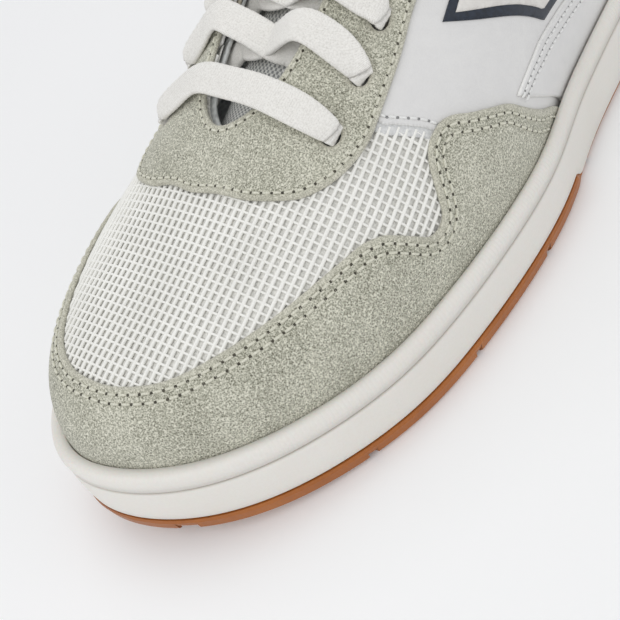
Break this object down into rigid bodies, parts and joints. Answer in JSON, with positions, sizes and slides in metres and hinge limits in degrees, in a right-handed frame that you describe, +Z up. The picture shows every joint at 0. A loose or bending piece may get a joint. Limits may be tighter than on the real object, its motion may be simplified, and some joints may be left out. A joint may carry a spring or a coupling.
{
  "type": "court shoe",
  "caption": "Low-cut left court shoe with mesh vamp, suede toe and eyestay, white cupsole, gum outsole, padded tongue and laced throat.",
  "frame": {"origin": "on the ground, under the middle of the shoe's length and width", "axes": "+Z up, toe towards -Y, outer (lateral) side of this left shoe towards +X"},
  "size_m": [0.1102, 0.2988, 0.128],
  "materials": {
    "gum": "moulded gum rubber, satin",
    "rubber": "warm white moulded rubber, matt",
    "foam": "open and closed cell foam",
    "board": "pressed fibre board",
    "suede": "sage green suede, napped",
    "leather": "white coated leather, fine grain, satin",
    "mesh": "white open warp-knit mesh",
    "textile": "light grey knitted lining",
    "navy": "navy coated leather, smooth",
    "stiffener": "thermoplastic stiffener sheet",
    "lace": "flat white woven polyester",
    "aglet": "clear-white acetate film"
  },
  "bodies": {
    "shoe": {"outsole": "gum", "cupsole": "rubber", "midsole_foam": "foam", "insole_board": "board", "sockliner": "textile", "vamp_mesh": "mesh", "vamp_lining": "textile", "quarter_lateral": "leather", "quarter_medial": "leather", "quarter_lining_lateral": "textile", "quarter_lining_medial": "textile", "eyelet_reinforcement_lateral": "stiffener", "eyelet_reinforcement_medial": "stiffener", "foxing_lateral": "leather", "foxing_medial": "leather", "side_stripe_lateral": "navy", "side_stripe_medial": "navy", "side_stripe_face_lateral": "leather", "side_stripe_face_medial": "leather", "toe_overlay": "suede", "eyestay": "suede", "heel_overlay": "suede", "heel_tab": "suede", "heel_counter": "stiffener", "collar_foam": "foam", "toe_puff": "stiffener", "vamp_backing": "textile", "topline_binding": "leather", "tongue_face": "mesh", "tongue_foam": "foam", "tongue_lining": "textile", "lace": "lace", "aglet_lateral": "aglet", "aglet_medial": "aglet"},
    "tongue_top": {"tongue_top_face": "mesh", "tongue_top_foam": "foam", "tongue_top_lining": "textile", "tongue_patch": "suede"}
  },
  "joints": [
    {"name": "tongue_fold", "type": "hinge", "parent": "shoe", "child": "tongue_top", "pos_m": [0, 0.0215, 0.0955], "axis": [1, 0, 0], "range_deg": [0, 26]}
  ]
}
